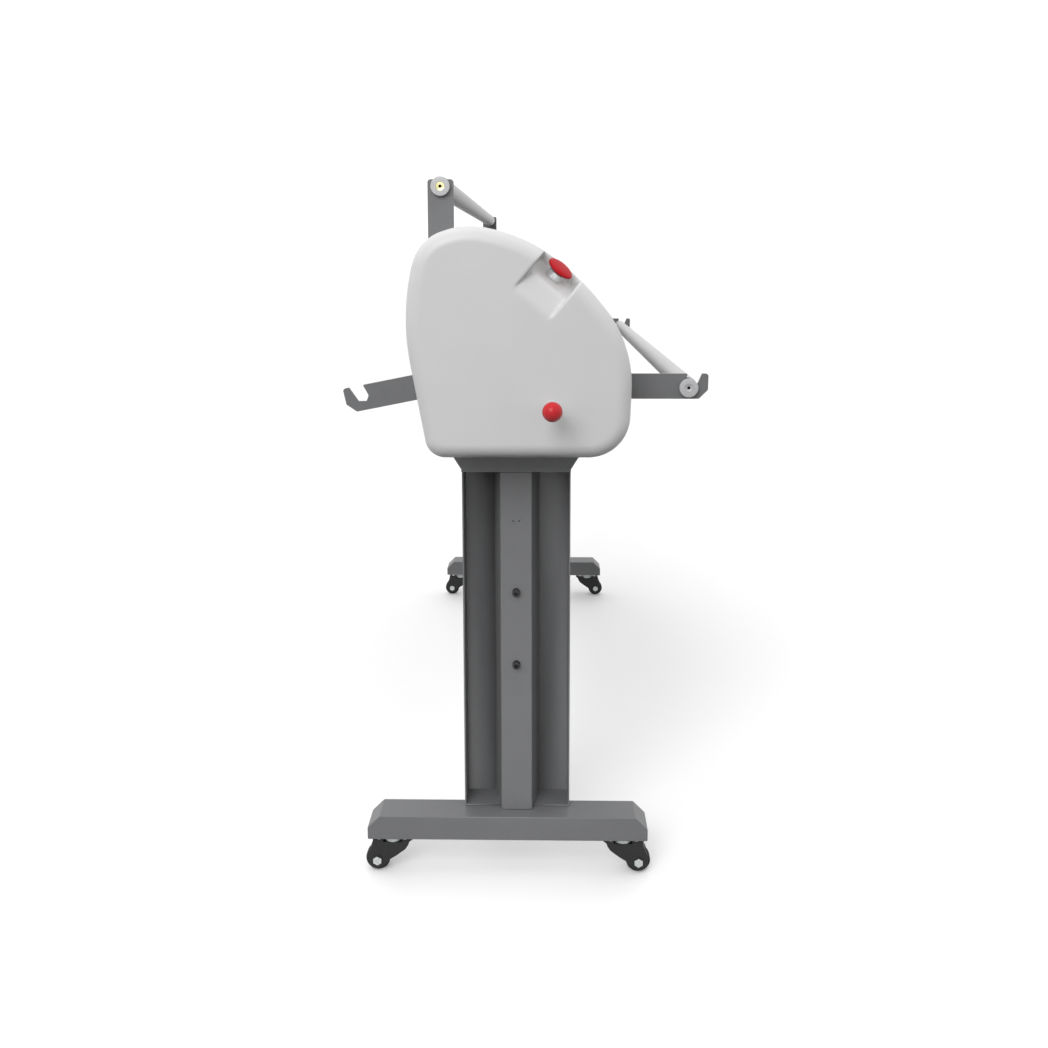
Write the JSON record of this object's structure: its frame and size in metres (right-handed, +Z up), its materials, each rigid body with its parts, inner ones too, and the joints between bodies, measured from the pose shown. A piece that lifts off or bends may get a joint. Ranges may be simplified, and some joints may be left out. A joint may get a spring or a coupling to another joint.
{
  "type": "cold roll laminator",
  "caption": "Wide cold roll laminator: rubber pressure rollers between rounded light-grey end covers with red emergency stops, media tubes on grey arms, on a grey stand with swivel casters.",
  "frame": {"origin": "on the floor, under the middle of the whole machine's box", "axes": "+X along the rollers from the end with the lift knob to the end with the motor, +Y from the operator's side to the rear, +Z up"},
  "size_m": [2.2028, 0.7076, 1.4166],
  "materials": {
    "stand_paint": "satin mid-grey powder coat",
    "arm_paint": "satin mid-grey powder coat",
    "cover_plastic": "satin light-grey moulded plastic",
    "red_plastic": "glossy red plastic",
    "black_plastic": "black nylon",
    "black_rubber": "black wheel tread",
    "grey_rubber": "ground silicone rubber",
    "zinc": "bright zinc plate",
    "steel": "turned steel",
    "black_oxide": "black oxide",
    "tube_aluminium": "satin anodised tube",
    "motor_grey": "painted casting"
  },
  "bodies": {
    "stand": {"control_panel": "black_plastic", "front_beam": "stand_paint", "front_table": "stand_paint", "gear_motor": "motor_grey", "left_bottom_bearing": "black_oxide", "left_column": "stand_paint", "left_cover": "cover_plastic", "left_foot": "stand_paint", "left_front_arm": "arm_paint", "left_front_caster_plate": "zinc", "left_lower_bolt": "black_oxide", "left_post": "stand_paint", "left_rear_arm": "arm_paint", "left_rear_caster_plate": "zinc", "left_saddle": "stand_paint", "left_side_plate": "stand_paint", "left_stop_base": "steel", "left_supply_bracket": "arm_paint", "left_upper_bolt": "black_oxide", "power_inlet": "black_plastic", "rear_beam": "stand_paint", "right_bottom_bearing": "black_oxide", "right_column": "stand_paint", "right_cover": "cover_plastic", "right_foot": "stand_paint", "right_front_arm": "arm_paint", "right_front_caster_plate": "zinc", "right_lower_bolt": "black_oxide", "right_post": "stand_paint", "right_rear_arm": "arm_paint", "right_rear_caster_plate": "zinc", "right_saddle": "stand_paint", "right_side_plate": "stand_paint", "right_stop_base": "steel", "right_supply_bracket": "arm_paint", "right_upper_bolt": "black_oxide", "stretcher": "stand_paint"},
    "lift_slide": {"lift_rod": "steel", "lift_knob": "red_plastic", "left_lift_wedge": "steel", "right_lift_wedge": "steel"},
    "carriage": {"left_top_bearing": "black_oxide", "right_top_bearing": "black_oxide"},
    "top_roller": {"top_roller_core": "steel", "top_roller_sleeve": "grey_rubber"},
    "bottom_roller": {"bottom_roller_core": "steel", "bottom_roller_sleeve": "grey_rubber"},
    "supply_tube": {"supply_tube": "tube_aluminium"},
    "front_tube": {"front_tube": "tube_aluminium"},
    "speed_dial": {"speed_dial": "black_plastic"},
    "left_stop_button": {"left_stop_button": "red_plastic"},
    "right_stop_button": {"right_stop_button": "red_plastic"},
    "left_front_fork": {"left_front_caster_fork": "black_plastic"},
    "left_front_wheel": {"left_front_caster_wheel": "black_rubber"},
    "left_rear_fork": {"left_rear_caster_fork": "black_plastic"},
    "left_rear_wheel": {"left_rear_caster_wheel": "black_rubber"},
    "right_front_fork": {"right_front_caster_fork": "black_plastic"},
    "right_front_wheel": {"right_front_caster_wheel": "black_rubber"},
    "right_rear_fork": {"right_rear_caster_fork": "black_plastic"},
    "right_rear_wheel": {"right_rear_caster_wheel": "black_rubber"}
  },
  "joints": [
    {"name": "nip_lift", "type": "slide", "parent": "stand", "child": "carriage", "axis": [0, 0, 1], "range_m": [0, 0.012]},
    {"name": "lift_rod_pull", "type": "slide", "parent": "stand", "child": "lift_slide", "axis": [-1, 0, 0], "range_m": [0, 0.048]},
    {"name": "top_roller_spin", "type": "hinge", "parent": "carriage", "child": "top_roller", "pos_m": [0.0464, 0.02, 1.0655], "axis": [1, 0, 0], "continuous": true},
    {"name": "bottom_roller_spin", "type": "hinge", "parent": "stand", "child": "bottom_roller", "pos_m": [0.0464, 0.02, 0.945], "axis": [1, 0, 0], "continuous": true},
    {"name": "supply_tube_spin", "type": "hinge", "parent": "stand", "child": "supply_tube", "pos_m": [0.0464, 0.1595, 1.3976], "axis": [1, 0, 0], "continuous": true},
    {"name": "front_tube_spin", "type": "hinge", "parent": "stand", "child": "front_tube", "pos_m": [0.0464, -0.3155, 1.0148], "axis": [1, 0, 0], "continuous": true},
    {"name": "speed_dial_turn", "type": "hinge", "parent": "stand", "child": "speed_dial", "pos_m": [0.8464, -0.2085, 0.963], "axis": [0, -1, 0], "range_deg": [-135, 135]},
    {"name": "left_stop_press", "type": "slide", "parent": "stand", "child": "left_stop_button", "axis": [0.342, 0.6078, -0.7167], "range_m": [0, 0.006], "stiffness_N_per_m": 300},
    {"name": "right_stop_press", "type": "slide", "parent": "stand", "child": "right_stop_button", "axis": [-0.342, 0.6078, -0.7167], "range_m": [0, 0.006], "stiffness_N_per_m": 300},
    {"name": "left_front_swivel", "type": "hinge", "parent": "stand", "child": "left_front_fork", "pos_m": [-0.8516, -0.201, 0.07], "axis": [0, 0, 1], "continuous": true},
    {"name": "left_front_roll", "type": "hinge", "parent": "left_front_fork", "child": "left_front_wheel", "pos_m": [-0.8516, -0.233, 0.025], "axis": [1, 0, 0], "continuous": true},
    {"name": "left_rear_swivel", "type": "hinge", "parent": "stand", "child": "left_rear_fork", "pos_m": [-0.8516, 0.276, 0.07], "axis": [0, 0, 1], "continuous": true},
    {"name": "left_rear_roll", "type": "hinge", "parent": "left_rear_fork", "child": "left_rear_wheel", "pos_m": [-0.8516, 0.308, 0.025], "axis": [1, 0, 0], "continuous": true},
    {"name": "right_front_swivel", "type": "hinge", "parent": "stand", "child": "right_front_fork", "pos_m": [0.9444, -0.201, 0.07], "axis": [0, 0, 1], "continuous": true},
    {"name": "right_front_roll", "type": "hinge", "parent": "right_front_fork", "child": "right_front_wheel", "pos_m": [0.9444, -0.233, 0.025], "axis": [1, 0, 0], "continuous": true},
    {"name": "right_rear_swivel", "type": "hinge", "parent": "stand", "child": "right_rear_fork", "pos_m": [0.9444, 0.276, 0.07], "axis": [0, 0, 1], "continuous": true},
    {"name": "right_rear_roll", "type": "hinge", "parent": "right_rear_fork", "child": "right_rear_wheel", "pos_m": [0.9444, 0.308, 0.025], "axis": [1, 0, 0], "continuous": true}
  ],
  "couplings": [
    {"joint": "lift_rod_pull", "follows": "nip_lift", "ratio": 4}
  ]
}
